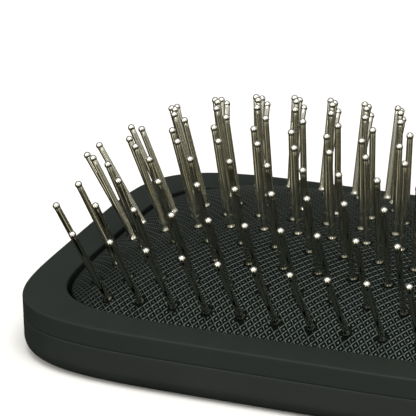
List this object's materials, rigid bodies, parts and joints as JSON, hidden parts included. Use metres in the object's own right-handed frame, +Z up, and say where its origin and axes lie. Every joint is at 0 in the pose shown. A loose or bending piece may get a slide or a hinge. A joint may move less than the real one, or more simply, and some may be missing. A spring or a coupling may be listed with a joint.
{
  "type": "cushion hairbrush",
  "caption": "Paddle hairbrush with a rounded oblong head, a domed rubber air cushion set with ball-tipped steel pins in staggered rows, a flat plastic rim and a handle with a hanging hole.",
  "frame": {"origin": "centre of the footprint, on the plane that the back of the head rests on", "axes": "+X along the handle, away from the free end of the head; +Y across the head; +Z up, the way the pins point"},
  "size_m": [0.244, 0.0914, 0.0439],
  "materials": {
    "body_plastic": "fine satin texture",
    "rim_plastic": "fine satin texture",
    "cap_plastic": "fine satin texture",
    "cushion_rubber": "embossed fine square grid, satin",
    "base_cloth": "woven backing",
    "pin_steel": "bright nickel plate"
  },
  "bodies": {
    "body": {"back_shell": "body_plastic", "front_frame": "rim_plastic", "handle_cover": "body_plastic", "end_cap": "cap_plastic"},
    "cushion": {"cushion_pad": "cushion_rubber", "pin_base_sheet": "base_cloth", "pin_row_01": "pin_steel", "pin_row_02": "pin_steel", "pin_row_03": "pin_steel", "pin_row_04": "pin_steel", "pin_row_05": "pin_steel", "pin_row_06": "pin_steel", "pin_row_07": "pin_steel", "pin_row_08": "pin_steel", "pin_row_09": "pin_steel", "pin_row_10": "pin_steel", "pin_row_11": "pin_steel", "pin_row_12": "pin_steel"}
  },
  "joints": [
    {"name": "cushion_press", "type": "slide", "parent": "body", "child": "cushion", "axis": [0, 0, 1], "range_m": [-0.003, 0], "stiffness_N_per_m": 3000, "springref_m": 0.0004, "deforming": ["cushion_pad"]}
  ]
}
